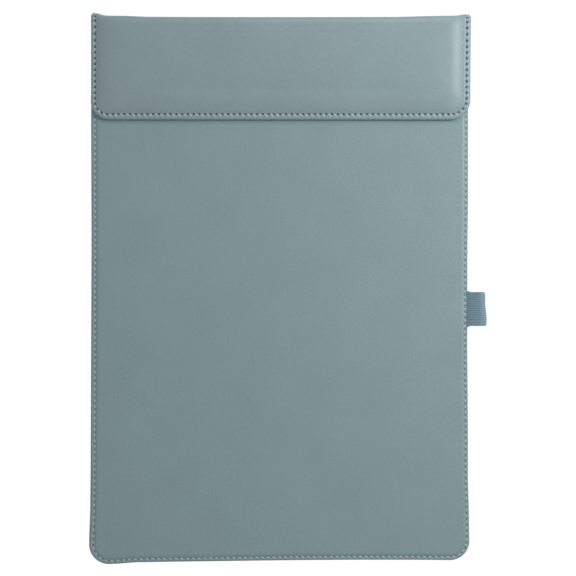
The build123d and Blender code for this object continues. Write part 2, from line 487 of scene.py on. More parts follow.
# %% Rings of the hem
# inside the seam, share of the way to the edge, drop, drop of a round edge, pucker
hem_shape = [
    (0.55, 0.0, 0.02, 0.0, 0.03),
    (0.25, 0.0, 0.13, 0.0, 0.06),
    (0.0, 0.0, 0.20, 0.0, 0.08),
    (0.0, 0.14, 0.10, 0.0, 0.06),
    (0.0, 0.32, -0.02, 0.0, 0.05),
    (0.0, 0.52, -0.05, 0.0, 0.05),
    (0.0, 0.68, 0.0, 0.03, 0.05),
    (0.0, 0.82, 0.0, 0.20, 0.04),
    (0.0, 0.93, 0.0, 0.48, 0.02),
    (0.0, 1.0, 0.0, 1.0, 0.0),
]
board_steps = [(9.0, 0.0), (4.6, 0.0), (2.5, 0.0), (1.7, 0.06), (1.25, 0.35), (0.85, 0.8)]
flap_steps = [(inside, 1.0) for inside in
              (13.5, 11.5, 9.8, 8.2, 6.8, 5.6, 4.5, 3.5, 2.6, 1.9, 1.35, 0.9)]


def hem_rings(fall, inner_steps, roundness=1.0):
    """Rings from the inside out as (inside the seam, share to the edge, drop, pucker)."""
    rings = [(inside, 0.0, fall * share, 0.0) for inside, share in inner_steps]
    for inside, out, plain, rounded, pucker in hem_shape:
        rings.append((inside, out, fall + plain + rounded * roundness, pucker))
    return rings


def side_wall(depth):
    """The ring at the foot of the hem, straight below its edge."""
    return [(0.0, 1.0, depth, 0.0)]


board_rings = hem_rings(0.45, board_steps) + side_wall(2.4)
flap_rings = hem_rings(2.3, flap_steps, 1.4) + side_wall(4.45)
back_rings, lining_rings = [], []
for inside, out, drop, pucker in hem_rings(leather, board_steps[:3]):
    back_rings.append((inside, out, max(drop - leather + 0.02, 0.0), pucker * 0.6))
    lining_rings.append((inside, out, max(drop - leather, 0.0) * 0.6, pucker * 0.5))
back_rings += side_wall(1.6)
lining_rings += side_wall(0.6)
print("rings of the hems:", len(board_rings), len(back_rings), len(flap_rings), len(lining_rings))

# %% [markdown]
# Now the sheet itself. The ringed grid is first laid out flat. Its coarse middle has wide
# rows on the board and narrow ones where the leather will bend, and each ring is divided
# in the same way, so that its points stay beside their rows. At the fold the rings end
# close together, and there the hem fades into a plain rounded rim.

# %% Laying a sheet out flat
spine_rim = [0.02, 0.2, 0.45, 0.7]


def core_of(outline, rings):
    """Where the coarse middle of a sheet lies."""
    left, right, low, high = outline
    margin = rings[0][0] + 5.0
    return left + margin, right - margin, low + margin, high - 0.6


def ring_limits(outline, insets, radius, ring, last):
    """The rounded rectangle that a ring lies on."""
    left, right, low, high = outline
    inside, out, number = ring
    keep = 1 - out
    limits = (
        left + insets["left"] * keep + inside,
        right - insets["right"] * keep - inside,
        low + insets["low"] * keep + inside,
        high - 0.5 * (1 - number / last),
    )
    return limits, max(radius - insets["low"] * keep - inside, 0.6)


def lay_flat(name, outline, radius, insets, rings, bend, cell=3.5):
    """A ringed grid laid out flat: the piece, sides, flat points, drop, pucker and rim."""
    low, high = outline[2:]
    bend_length, bend_rows = bend
    last = len(rings) - 1
    core = core_of(outline, rings)
    columns = round((core[1] - core[0]) / cell)
    plain_rows = round((core[3] - core[2] - bend_length) / cell)
    rows = plain_rows + bend_rows
    piece = ringed_grid(name, columns, rows, len(rings))
    numbers = np.zeros(len(piece.data.vertices))
    piece.data.attributes["ring"].data.foreach_get("value", numbers)
    unit = points_of(piece)
    names, share = side_and_share(unit)
    bends = side_bends(outline, (radius, 0.0))
    knee = plain_rows / rows
    side_long = high - low - radius + radius * math.pi / 4
    marks = ([0, knee, 1], [0, 1 - bend_length / side_long, 1])
    share = np.where(names == "right", np.interp(share, *marks), share)
    share = np.where(names == "left", 1 - np.interp(1 - share, *marks), share)
    flat = np.zeros((len(unit), 2))
    drop, pucker, rim = np.zeros((3, len(unit)))
    inner = numbers < -0.5
    flat[inner, 0] = core[0] + (unit[inner, 0] + 0.5) * (core[1] - core[0])
    heights = [core[2], high - bend_length, core[3]]
    flat[inner, 1] = np.interp(unit[inner, 1] + 0.5, [0, knee, 1], heights)
    for number, (inside, out, fall, shake) in enumerate(rings):
        chosen = np.abs(numbers - number) < 0.01
        limits, corner = ring_limits(outline, insets, radius, (inside, out, number), last)
        flat[chosen] = rounded_box(limits, (corner, 0.0), bends, names[chosen], share[chosen])
        top = names[chosen] == "high"
        rim_here = spine_rim[number - last - 1] if last - number < 4 else 0.0
        drop[chosen] = np.where(top, 0.0, fall)
        pucker[chosen] = np.where(top, 0.0, shake)
        rim[chosen] = np.where(top, 0.0, rim_here)
    return piece, names, flat, drop, pucker, rim


# %% [markdown]
# The flat sheet is then wrapped along its path, and a Solidify modifier gives the leather
# its thickness on the hidden side. Each point keeps its place on the seam as an attribute,
# because the finish reads it to paint shade into the needle holes, the channel and the
# puckers, and wear and shade along the edge.

# %% One sheet of leather
not_stitched = 40.0


def note_seam(piece, along, inside, edge):
    """Keeps each point's place on the seam as an attribute that the finish can read."""
    where = np.stack([along, inside, edge], axis=1)
    spots = piece.data.attributes.new("seam", "FLOAT_VECTOR", "POINT")
    spots.data.foreach_set("vector", where.ravel())


def turn_over(piece):
    """Makes every face look the other way."""
    work_on(piece)
    bpy.ops.object.mode_set(mode="EDIT")
    bpy.ops.mesh.select_all(action="SELECT")
    bpy.ops.mesh.flip_normals()
    bpy.ops.object.mode_set(mode="OBJECT")


def thicken(piece, name, thickness, offset):
    """Gives a surface its thickness with an applied Solidify modifier."""
    work_on(piece)
    solid = piece.modifiers.new(name, "SOLIDIFY")
    solid.thickness = thickness * mm
    solid.offset = offset
    bpy.ops.object.modifier_apply(modifier=name)


def leather_sheet(name, outline, radius, insets, seam, rings, wrap, facing, thickness,
                  fade, bend, pad=None):
    """A stitched sheet. outline is left, right, low and high, measured along the leather.

    bend is the length at its high end that folds, and how many rows of faces it gets.
    """
    left, right, low = outline[:3]
    rings = [(rings[0][0] + 1.4, *rings[0][1:])] + rings
    laid = lay_flat(name, outline, radius, insets, rings, bend)
    piece, names, flat, drop, pucker, rim = laid
    x, run = flat[:, 0], flat[:, 1]
    along, inside = seam.along_and_inside(x, run)
    stitched = (run < seam.top) & (run > low - 1)
    drop = drop + np.where(stitched, pucker * np.cos(2 * math.pi * along / seam.pitch), 0)
    gone = ease(run, *fade)
    drop = drop * (1 - gone) + rim * gone
    if pad is not None:
        flap_depth, swell = pad
        soft = (inside > 0.6) & (names != "high")
        drop = np.where(soft, flap_depth * shoulder(x, run) * (1 - gone), drop)
        drop = drop - swell(x, run)
    put_points(piece, wrap(x, run, drop))
    edge = np.minimum.reduce([x - left, right - x, run - low])
    note_seam(piece, along / seam.pitch, np.where(stitched, inside, not_stitched), edge)
    if facing < 0:
        turn_over(piece)
    thicken(piece, "leather", thickness, -1)
    smooth(piece, 50)
    print(name, len(piece.data.polygons), "faces")
    return piece


# %% [markdown]
# The flap is padded: thin foam over a stiff board, pulled down along the seams. Its face
# falls to the stitched hem over a shoulder about 13 mm wide. On the right the real
# shoulder is S-shaped, with a bright roll in it, so its profile is summed up from how
# steep it is at each distance from the seam.

# %% The shoulder of the flap
pad_area = (-112.4, 110.0, 105.7, 160.5)
shoulder_width = 13.5


def soft_distance(x, run):
    """How far inside the flap's seam, with round corners all the way in."""
    r = flap_line.radius
    a = np.minimum(x - flap_line.left, flap_line.right - x)
    b = run - flap_line.low
    q = (a - b) / 2
    round_one = (a + b) / 2 - r + np.sqrt(np.maximum(r * r / 2 - q * q, 0))
    return np.where(np.abs(q) < r / 2, round_one, np.minimum(a, b)), ease(b - a, -6, 6)


far = np.linspace(0, 18, 181)
fall_here = np.exp(-(((far - 6.1) / 2.4) ** 2) / 2) + 0.4 * (1 - ease(far, 7, 16))
fall_here += 2.4 * (1 - ease(far, 0.3, 1.6))
fallen = 1 - np.cumsum(fall_here) / fall_here.sum()


def shoulder(x, run):
    """How much of the hem's depth the leather has left at a point of the flap."""
    inside, beside = soft_distance(x, run)
    plain = (1 - np.clip((inside - 0.4) / shoulder_width, 0, 1)) ** 2.0
    waved = np.interp(inside, far, fallen)
    return plain + (waved - plain) * beside * ease(x, 20, 90)


print("the right shoulder is half way down", far[np.argmin(np.abs(fallen - 0.5))], "mm in")

# %% [markdown]
# To find how such leather swells, a coarse sheet of cloth in the pad's shape is pinned
# along its edge and blown up a little from below. How far each point rose, with a cap, is
# then added to the fine sheet, which keeps its seam. A plain smooth mound stands ready for
# when there is no cloth result.

# %% The swell of the padding
hand_swell = 0.9
cloth_swell = 1.1
most_rise = 3.0
cloth_moments = 20


def swell_by_hand(x, run):
    """A smooth low mound over the pad, for when there is no cloth result."""
    left, right, low, high = pad_area
    rise = ease(x, left, left + 30) * ease(-x, -right, -right + 30)
    return hand_swell * rise * ease(run, low, low + 22) * ease(-run, -high, -high + 14)


def swell_by_cloth():
    """Blows up a pinned sheet of cloth and gives the rise of its points on a grid."""
    left, right, low, high = pad_area
    columns, rows = 60, 15
    start_afresh()
    bpy.ops.mesh.primitive_grid_add(x_subdivisions=columns, y_subdivisions=rows, size=1)
    cloth = named(bpy.context.object, "pad_cloth")
    unit = points_of(cloth)
    x = left + (unit[:, 0] + 0.5) * (right - left)
    run = low + (unit[:, 1] + 0.5) * (high - low)
    rest = flap_face - (flap_face - flap_hem) * shoulder(x, run)
    put_points(cloth, np.stack([x, run, rest], axis=1) * mm)
    pinned = [i for i in range(len(unit)) if np.abs(unit[i, :2]).max() > 0.499]
    cloth.vertex_groups.new(name="seam").add(pinned, 1.0, "REPLACE")
    blown = cloth.modifiers.new("blown", "CLOTH")
    cloth_settings = {
        "quality": 6, "mass": 0.3, "tension_stiffness": 12, "compression_stiffness": 12,
        "shear_stiffness": 6, "bending_stiffness": 0.6, "vertex_group_mass": "seam",
        "use_pressure": True, "uniform_pressure_force": 4,
    }
    for key, value in cloth_settings.items():
        setattr(blown.settings, key, value)
    blown.settings.effector_weights.gravity = 0
    blown.collision_settings.use_self_collision = False
    blown.point_cache.frame_start = 1
    blown.point_cache.frame_end = cloth_moments
    for moment in range(1, cloth_moments + 1):
        bpy.context.scene.frame_set(moment)
    work_on(cloth)
    bpy.ops.object.modifier_apply(modifier="blown")
    risen = points_of(cloth)[:, 2] / mm - rest
    bpy.context.scene.frame_set(1)
    bpy.data.objects.remove(cloth)
    print("the cloth rose by up to", round(float(risen.max()), 2), "mm")
    order = np.lexsort((unit[:, 0], unit[:, 1]))
    highest = max(min(float(risen.max()), most_rise), 0.01)
    risen = np.clip(risen[order], 0, most_rise) / highest
    return risen.reshape(rows + 1, columns + 1) * cloth_swell


blown_pad = swell_by_cloth()


def pad_swell(x, run):
    """How far the padding lifts the leather above the CAD face, in millimetres."""
    if blown_pad is None:
        return swell_by_hand(x, run)
    left, right, low, high = pad_area
    rows, columns = blown_pad.shape
    u = np.clip((x - left) / (right - left), 0, 1) * (columns - 1)
    v = np.clip((run - low) / (high - low), 0, 1) * (rows - 1)
    # the square of the cloth that each point is in, and how far across it the point lies
    i, j = np.minimum(u.astype(int), columns - 2), np.minimum(v.astype(int), rows - 2)
    s, t = u - i, v - j
    s, t = s * s * (3 - 2 * s), t * t * (3 - 2 * t)
    lower = blown_pad[j, i] * (1 - s) + blown_pad[j, i + 1] * s
    upper = blown_pad[j + 1, i] * (1 - s) + blown_pad[j + 1, i + 1] * s
    return lower * (1 - t) + upper * t


# %% [markdown]
# The four paths, seen from the right-hand side with the board's top end to the right. The
# front leather goes over the end of the board and up inside the fold. The back leather
# and the flap's leather meet behind it, and the flap's lining meets the front leather.

# %% Paths over the fold, from the board to the flap
lining_line = board_end + 0.3
front_path = path_of([
    (low_edge, board_top), (board_end, board_top, 1.1), (board_end, 0.95, 0.14),
    (lining_line, 0.95, 0.14), (lining_line, middle_of_spine),
])
back_path = path_of([(low_edge, 0), (fold_edge, 0, 1.7), (fold_edge, middle_of_spine)])
flap_path = path_of([
    (flap_low, flap_face), (fold_edge, flap_face, 6.5, 3.6), (fold_edge, middle_of_spine),
])
under_path = path_of([
    (flap_low, flap_under), (lining_line, flap_under, 0.8), (lining_line, middle_of_spine),
])


def length_of(path):
    """How long the leather is along a path."""
    return float(path[1][-1])


for name, path in (("front", front_path), ("back", back_path), ("flap", flap_path)):
    print(name, "leather is", round(length_of(path), 1), "mm long")

# %% [markdown]
# Some sheets shift a little of their own. The spine grows to the flap's width. The flap's
# low edge sits high, and its right corner is rounder than the left. Inside the fold, the
# linings stop short of the outer leather, so that they don't poke out when it bends.

# %% Small shifts of single sheets
tuck = 0.9


def grow_at_fold(x, run):
    """The spine is as wide as the flap, which stands out a little on the right."""
    return flap_overhang * ease(x, 95, 115) * ease(run, 160, 165), 0.0


def flap_shift(x, run):
    """The flap's low edge sits a little high, and its right corner is rounder."""
    corner = np.exp(-((x - 113) ** 2 + (run - 105) ** 2) / 40)
    narrow = 0.55 * ease(x, 100, 114) * (1 - ease(run, 108, 121))
    lift = (0.52 - 0.08 * x / half_width) * (1 - ease(run, 104, 124))
    return -narrow - 0.45 * corner, lift + 0.45 * corner


def front_tuck(x, run):
    """The ends of the front leather, tucked in where it goes up inside the fold."""
    return -np.sign(x) * tuck * ease(np.abs(x), 100, 115) * ease(run, 165.4, 167.4), 0.0


def under_tuck(x, run):
    """The flap's own shifts, and the ends of its lining tucked in at the fold."""
    dx, dy = flap_shift(x, run)
    return dx - np.sign(x) * tuck * ease(np.abs(x), 100, 115) * ease(run, 163.0, 164.8), dy


print("flap corner moves in by", round(-float(flap_shift(113, 105)[0]), 2), "mm")

# %% [markdown]
# The front leather covers the writing face. Its hem is low and tight, and its upper end
# goes down into the fold as the lining of the spine.

# %% The front leather
front_wrap = wrapping(front_path, 1, low_edge, front_tuck, lambda run: run * 0.0)
front_fade = (161.5, 165.5)
front_leather = leather_sheet(
    "front_leather", (-half_width, half_width, low_edge, low_edge + length_of(front_path)),
    board_radius, board_seam, board_line, board_rings, front_wrap,
    facing=1, thickness=0.65, fade=front_fade, bend=(7.5, 40))

# %% [markdown]
# The back leather lies on the desk, so its hem is nearly flat. It turns up at the top edge
# and is the outside of the spine as far as the spine's middle.

# %% The back leather
back_wrap = wrapping(back_path, -1, low_edge, grow_at_fold)
back_fade = (162.5, 166)
back_leather = leather_sheet(
    "back_leather", (-half_width, half_width, low_edge, low_edge + length_of(back_path)),
    board_radius, board_seam, board_line, back_rings, back_wrap,
    facing=-1, thickness=0.75, fade=back_fade, bend=(7.0, 18))

# %% [markdown]
# The flap's leather has the deepest hem, the shoulder and the padding. It comes round the
# upper fold to meet the back leather in the middle of the spine.

# %% The padded leather of the flap
flap_wrap = wrapping(flap_path, 1, flap_low, flap_shift)
flap_fade = (161, 171)
flap_leather = leather_sheet(
    "flap_leather_skin",
    (-half_width, half_width + flap_overhang, flap_low, flap_low + length_of(flap_path)),
    flap_radius, flap_seam, flap_line, flap_rings, flap_wrap,
    facing=1, thickness=0.75, fade=flap_fade, bend=(16.0, 34),
    pad=(flap_face - flap_hem, pad_swell))

# %% [markdown]
# The flap's lining is the thin sheet that presses on the paper. It is a little smaller
# than the flap all round, and its ears end before the fold.

# %% The lining of the flap
under_wrap = wrapping(under_path, -1, flap_low, under_tuck, lambda run: 1 - ease(run, 157, 163))
under_fade = (162, 165)
under_leather = leather_sheet(
    "flap_lining_skin",
    (-half_width + lining, half_width + flap_overhang - lining, flap_low + lining,
     flap_low + length_of(under_path)),
    flap_radius - lining, {side: inset - lining for side, inset in flap_seam.items()},
    flap_line, lining_rings, under_wrap,
    facing=-1, thickness=0.55, fade=under_fade, bend=(5.0, 22))

# %% [markdown]
# One stitch is a short twisted length of thread whose ends go down into the needle holes.
# It is made once, from a small sphere drawn out along its length, and given a waist that
# turns as it goes along, as two plies of thread have.

# %% One stitch
def one_stitch(length, width, height):
    """A stitch of that size in millimetres, lying along X at the origin."""
    start_afresh()
    bpy.ops.mesh.primitive_uv_sphere_add(segments=10, ring_count=9, radius=0.5)
    piece = named(bpy.context.object, "stitch")
    bpy.ops.object.mode_set(mode="EDIT")
    bpy.ops.mesh.select_all(action="SELECT")
    bpy.ops.transform.rotate(value=math.pi / 2, orient_axis="Y", center_override=(0, 0, 0))
    bpy.ops.transform.resize(value=(length, width, height))
    bpy.ops.object.mode_set(mode="OBJECT")
    points = points_of(piece)
    along = points[:, 0] / (length / 2)
    full = np.sqrt(np.clip(1 - along ** 6, 0.02, 1)) / np.sqrt(np.clip(1 - along ** 2, 0.02, 1))
    turn = along * 1.9
    points[:, 1] *= full
    points[:, 2] *= full
    waist = 1 + 0.16 * np.cos(2 * (np.arctan2(points[:, 2], points[:, 1]) - turn))
    points[:, 1] *= waist
    points[:, 2] *= waist
    points[:, 2] -= 0.34 * np.abs(along) ** 3
    put_points(piece, points)
    return piece


# %% [markdown]
# The stitch is copied along the seam, each copy turned a little across it, because the
# thread of a lockstitch leans. Each is laid flat first and wrapped with the leather that it
# sews, so it follows every curve. Where the hem fades at the fold, the thread rises too.

# %% Sewing a seam
def sew(name, seam, wrap, fade, facing, size, slant, outward, drop):
    """Copies a stitch of a size all along a seam and makes one piece of the copies.

    slant is in degrees. outward and drop say how far outside the seam and how far below
    the face the middle of the thread lies.
    """
    source = one_stitch(*size)
    base = points_of(source)
    faces = [tuple(face.vertices) for face in source.data.polygons]
    everywhere, corners = [], []
    for number in range(seam.count):
        x, y, heading = seam.place((number + 0.5) * seam.pitch)
        x, y = x + math.sin(heading) * outward, y - math.cos(heading) * outward
        turn = heading - math.radians(slant)
        cos, sin = math.cos(turn), math.sin(turn)
        points = np.stack([x + base[:, 0] * cos - base[:, 1] * sin,
                           y + base[:, 0] * sin + base[:, 1] * cos, base[:, 2]], axis=1)
        corners += [tuple(c + len(everywhere) * len(base) for c in face) for face in faces]
        everywhere.append(points)
    points = np.concatenate(everywhere)
    below = drop * (1 - ease(points[:, 1], *fade)) - points[:, 2]
    mesh = bpy.data.meshes.new(name)
    mesh.from_pydata(wrap(points[:, 0], points[:, 1], below).tolist(), [], corners)
    piece = bpy.data.objects.new(name, mesh)
    bpy.context.scene.collection.objects.link(piece)
    bpy.data.objects.remove(source)
    if facing < 0:
        mesh.flip_normals()
    smooth(piece, 80)
    return piece


front_thread = sew("front_thread", board_line, front_wrap, front_fade, 1,
                   size=(1.95, 1.15, 0.6), slant=12, outward=0.1, drop=0.47)
back_thread = sew("back_thread", board_line, back_wrap, back_fade, -1,
                  size=(2.6, 0.7, 0.4), slant=10, outward=0.0, drop=0.30)
flap_thread = sew("flap_thread", flap_line, flap_wrap, flap_fade, 1,
                  size=(2.5, 1.15, 0.7), slant=42, outward=0.66, drop=2.33)
under_thread = sew("flap_lining_thread", flap_line, under_wrap, under_fade, -1,
                   size=(2.6, 0.7, 0.4), slant=10, outward=0.0, drop=0.22)
sewn = (front_thread, back_thread, flap_thread, under_thread)
print("faces of the threads:", [len(thread.data.polygons) for thread in sewn])

# %% [markdown]
# The pen loop is a length of elastic webbing, folded in two with its tails sewn into the
# seam. Its cords run along its length, so it shows fine ribs across the board's edge. A
# smooth line through a few marks gives its teardrop, seen from the low end of the board.

# %% The line of the pen loop
loop_marks = np.array([
    (112.2, 2.1), (114.2, 2.4), (115.2, 3.3), (116.9, 4.3), (119.0, 5.3), (121.2, 6.2),
    (123.2, 6.8), (124.8, 6.6), (125.9, 5.6), (126.1, 4.2), (125.6, 2.6), (124.8, 1.5),
    (123.4, 0.75), (121.0, 0.6), (118.4, 0.6), (116.4, 0.75), (115.2, 1.0),
    (114.2, 1.1), (112.2, 1.1),
])


def smooth_line(marks, run, count):
    """Points along a smooth line through the marks."""
    at = np.linspace(0, run[-1], count)
    slope = np.gradient(marks, run, axis=0)
    k = np.clip(np.searchsorted(run, at, side="right") - 1, 0, len(run) - 2)
    long = (run[k + 1] - run[k])[:, None]
    t = ((at - run[k]) / long[:, 0])[:, None]
    first = (2 * t ** 3 - 3 * t ** 2 + 1) * marks[k] + (t ** 3 - 2 * t ** 2 + t) * long * slope[k]
    last = (3 * t ** 2 - 2 * t ** 3) * marks[k + 1] + (t ** 3 - t ** 2) * long * slope[k + 1]
    return first + last


loop_gaps = np.linalg.norm(np.diff(loop_marks, axis=0), axis=1)
loop_run = np.concatenate([[0], np.cumsum(loop_gaps)])
loop_line = smooth_line(loop_marks, loop_run, 72)
print("webbing between the seams:", round(float(loop_run[-1]), 1), "mm")

# %% [markdown]
# The webbing is a grid that is laid along that line. Its ribs are ridges in the mesh, six
# faces to a rib, and its end shows the soft wave that the photograph has. The tails are
# wider, where the seam presses them flat.

# %% The pen loop
loop_middle = -12.85
ribs, per_rib = 15, 6


def pen_loop_piece():
    """A strip of ribbed webbing, laid along the teardrop and given its thickness."""
    start_afresh()
    steps = len(loop_line) - 1
    bpy.ops.mesh.primitive_grid_add(x_subdivisions=steps, y_subdivisions=ribs * per_rib, size=1)
    piece = named(bpy.context.object, "pen_loop_webbing")
    unit = points_of(piece)
    step = np.rint((unit[:, 0] + 0.5) * steps).astype(int)
    across = unit[:, 1] * 2
    heading = np.gradient(loop_line, axis=0)
    heading /= np.linalg.norm(heading, axis=1)[:, None]
    normal = np.stack([-heading[:, 1], heading[:, 0]], axis=1)
    rib = 0.13 * np.abs(np.cos(math.pi * (unit[:, 1] + 0.5) * ribs)) - 0.05
    x = loop_line[step, 0]
    bulge = ease(x, 118, 125.5)
    flare = 0.7 * (1 - ease(x, 114.8, 117.4))
    half = 10.35 + flare - 0.3 * ease(x, 124.8, 126.3)
    wave = (0.42 * np.tanh(-(across + 0.1) * 3.5) - 0.45 * np.abs(across) ** 14) * bulge
    spot = loop_line[step] + normal[step] * rib[:, None]
    y = loop_middle + across * half
    put_points(piece, np.stack([spot[:, 0] + wave, y, spot[:, 1]], axis=1) * mm)
    thicken(piece, "webbing", 0.95, 0)
    smooth(piece, 60)
    print("pen loop", len(piece.data.polygons), "faces")
    return piece


pen_loop = pen_loop_piece()

# %% [markdown]
# A material is a sum of small patterns. Writing the sums as plain Python keeps them
# readable: a Wire wraps one socket, and adding or multiplying wires adds the Math nodes.

# %% Shader sums in plain Python
class Wire:
    """One output socket that can be used in sums."""

    def __init__(self, finish, socket):
        self.finish, self.socket = finish, socket

    def sum(self, operation, first, second):
        """One Math node, with wires or plain numbers in its two sockets."""
        settings = {"operation": operation}
        return self.finish.node("ShaderNodeMath", settings, {0: first, 1: second})

    def __add__(self, other):
        return self.sum("ADD", self, other)

    def __radd__(self, other):
        return self.sum("ADD", other, self)

    def __sub__(self, other):
        return self.sum("SUBTRACT", self, other)

    def __rsub__(self, other):
        return self.sum("SUBTRACT", other, self)

    def __mul__(self, other):
        return self.sum("MULTIPLY", self, other)

    def __rmul__(self, other):
        return self.sum("MULTIPLY", other, self)

    def __truediv__(self, other):
        return self.sum("DIVIDE", self, other)

    def __rtruediv__(self, other):
        return self.sum("DIVIDE", other, self)

    def __pow__(self, other):
        return self.sum("POWER", self, other)


# %% [markdown]
# A Finish is one material. Every node other than a Math node comes from its method node,
# which takes the node's type, its settings and the values or wires of its sockets.

# %% A material and its nodes
class Finish:
    """A material and the one way that nodes are added to it."""

    def __init__(self, name):
        self.material = bpy.data.materials.new(name)
        self.material.use_nodes = True
        self.tree = self.material.node_tree
        self.shader = self.tree.nodes["Principled BSDF"]

    def node(self, kind, settings=None, inputs=None, output=0):
        """Any other node: its type, its settings, and the values or wires of its sockets."""
        made = self.tree.nodes.new(kind)
        for key, value in (settings or {}).items():
            setattr(made, key, value)
        for key, value in (inputs or {}).items():
            self.join(made.inputs[key], value)
        return Wire(self, made.outputs[output])

    def join(self, socket, value):
        """Links a wire to a socket, or sets the socket's own value."""
        if isinstance(value, Wire):
            self.tree.links.new(value.socket, socket)
        else:
            socket.default_value = value

    def set(self, name, value):
        """Sets or links one socket of the material's own shader."""
        self.join(self.shader.inputs[name], value)

    def place(self, scale=1000.0, turn=(0, 0, 0), stretch=(1, 1, 1)):
        """Object coordinates in millimetres, turned and stretched if asked."""
        where = self.node("ShaderNodeTexCoord", output="Object")
        size = tuple(scale * s for s in stretch)
        return self.node("ShaderNodeMapping", None,
                         {"Vector": where, "Rotation": turn, "Scale": size})

    def noise(self, place, scale, detail=2.0, roughness=0.5):
        return self.node("ShaderNodeTexNoise", None,
                         {"Vector": place, "Scale": scale, "Detail": detail, "Roughness": roughness})

    def within(self, value, low, high):
        """0 below low, 1 above high, smooth in between."""
        settings = {"interpolation_type": "SMOOTHSTEP"}
        inputs = {"Value": value, "From Min": low, "From Max": high}
        return self.node("ShaderNodeMapRange", settings, inputs)

    def tint(self, amount, first, second):
        """A colour between two colours."""
        return self.node("ShaderNodeMix", {"data_type": "RGBA"},
                         {0: amount, 6: self.full(first), 7: self.full(second)}, output=2)

    def full(self, colour):
        return colour if isinstance(colour, Wire) else (*colour, 1.0)

    def bump(self, height, distance, strength):
        """A bump of that many millimetres, made from a height."""
        return self.node("ShaderNodeBump", None,
                         {"Height": height, "Distance": distance * mm, "Strength": strength})


def colour(red, green, blue):
    """A colour from its 0 to 255 values, as a screen shows it."""
    def plain(value):
        value /= 255
        return value / 12.92 if value < 0.04045 else ((value + 0.055) / 1.055) ** 2.4
    return tuple(plain(value) for value in (red, green, blue))


print("the board's grey blue as plain numbers:", [round(c, 3) for c in colour(136, 159, 162)])

# %% [markdown]
# Coated leather: a quiet grey blue with small light and dark specks, a fine pebble on
# the board and crossing strokes on the flap. Along the seam, painted shade darkens the
# needle holes, the channel of the thread and a faint mark beside each hole where the leather
# puckers, and the turned edge is darkened partly by wear and partly by painted shade. The
# attribute made with each sheet says where the seam is.

# %% The marks of the seam
class SeamMarks:
    """Masks for painted shade in the needle holes, channel and puckers, and on the edge, with its wear."""

    def __init__(self, finish, hole_size):
        spot = finish.node("ShaderNodeAttribute", {"attribute_name": "seam"}, output="Vector")
        parts = [finish.node("ShaderNodeSeparateXYZ", None, {0: spot}, output=k) for k in range(3)]
        along, inside, edge = parts
        back_and_forth = {"operation": "PINGPONG"}
        from_hole = finish.node("ShaderNodeMath", back_and_forth, {0: along, 1: 0.5})
        across_hole = (inside / (hole_size * 0.85)) ** 2
        dot = (from_hole * stitch_pitch / hole_size) ** 2 + across_hole
        # The hole mask sets where painted shade darkens each needle hole; it also roughens the leather and
        # sinks the bump there.
        self.hole = 1 - finish.within(dot, 0.35, 1.5)
        from_line = finish.node("ShaderNodeMath", {"operation": "ABSOLUTE"}, {0: inside})
        # The channel mask sets where painted shade darkens the groove that the thread lies in.
        self.channel = 1 - finish.within(from_line, 0.15, 0.7)
        # The edge mask sets where the turned edge darkens, partly from wear and partly as painted shade of
        # the rounded edge.
        self.rubbed_and_shaded = 1 - finish.within(edge, 0.3, 1.2)
        # The pucker mask puts a faint painted shade beside each hole, where the leather puckers between
        # stitches.
        pull = finish.node("ShaderNodeMath", back_and_forth, {0: along + inside * 0.3, 1: 0.5})
        beside = finish.within(inside, 0.5, 1.2) * (1 - finish.within(inside, 2.2, 3.4))
        self.pucker_shade_mask = beside * (1 - finish.within(pull, 0.06, 0.3))


# %% [markdown]
# The grain itself. The board has a fine pebble, from a smooth Voronoi pattern. The flap
# has strokes that cross it on the slant, from a noise stretched in one direction. Light
# and dark specks and slow clouds keep either from looking even.

# %% The leather finishes
# How strongly painted shade darkens the seam's channel and the puckers beside its holes.
channel_shade = 0.12
pucker_shade_amount = 0.12


def leather_finish(name, base, strokes, depth, hole_size, hole_shade, edge_wear_and_shade, rough):
    """Leather of a base colour, with strokes or a pebble that is depth millimetres deep."""
    finish = Finish(name)
    place = finish.place()
    marks = SeamMarks(finish, hole_size)
    grain = finish.node("ShaderNodeTexVoronoi", {"feature": "SMOOTH_F1"},
                        {"Vector": place, "Scale": 0.85, "Smoothness": 0.6})
    specks = finish.noise(place, 0.5, 4.0, 0.6)
    clouds = finish.noise(place, 0.03, 2.0, 0.5)
    grain_share = 0.2
    if strokes:
        slant = finish.place(turn=(0, 0, math.radians(45)))
        drawn = finish.node("ShaderNodeMapping", None, {"Vector": slant, "Scale": (0.22, 1.0, 1.0)})
        grain = finish.noise(drawn, 0.75, 2.5, 0.55) * 0.75 + grain * 0.25
        grain_share = 0.45
    tone = 0.5 + (specks - 0.5) * 0.5 + (clouds - 0.5) * 0.5 + (grain - 0.5) * grain_share
    dark = tuple(c * 0.86 for c in base)
    light = tuple(min(c * 1.12, 1) for c in base)
    # The next colour serves the edge's wear and the painted shade along the edge, in the seam's channel and
    # beside the holes.
    wear_and_shade = (base[0] * 0.28, base[1] * 0.42, base[2] * 0.44)
    # The next colour is the painted shade inside the needle holes.
    deep = (base[0] * 0.16, base[1] * 0.24, base[2] * 0.25)
    shade = finish.tint(tone, dark, light)
    # Painted shade laid on one mark at a time: the edge, part wear, then the channel, the puckers and the
    # needle holes.
    shade = finish.tint(marks.rubbed_and_shaded * edge_wear_and_shade, shade, wear_and_shade)
    shade = finish.tint(marks.channel * channel_shade, shade, wear_and_shade)
    shade = finish.tint(marks.pucker_shade_mask * pucker_shade_amount, shade, wear_and_shade)
    shade = finish.tint(marks.hole * hole_shade, shade, deep)
    finish.set("Base Color", shade)
    finish.set("Roughness", rough + (specks - 0.5) * 0.22 + marks.hole * 0.3)
    height = grain * 0.8 + specks * 0.35 - marks.hole * 2.5
    finish.set("Normal", finish.bump(height, depth, 0.8))
    finish.set("Specular IOR Level", 0.5)
    return finish.material


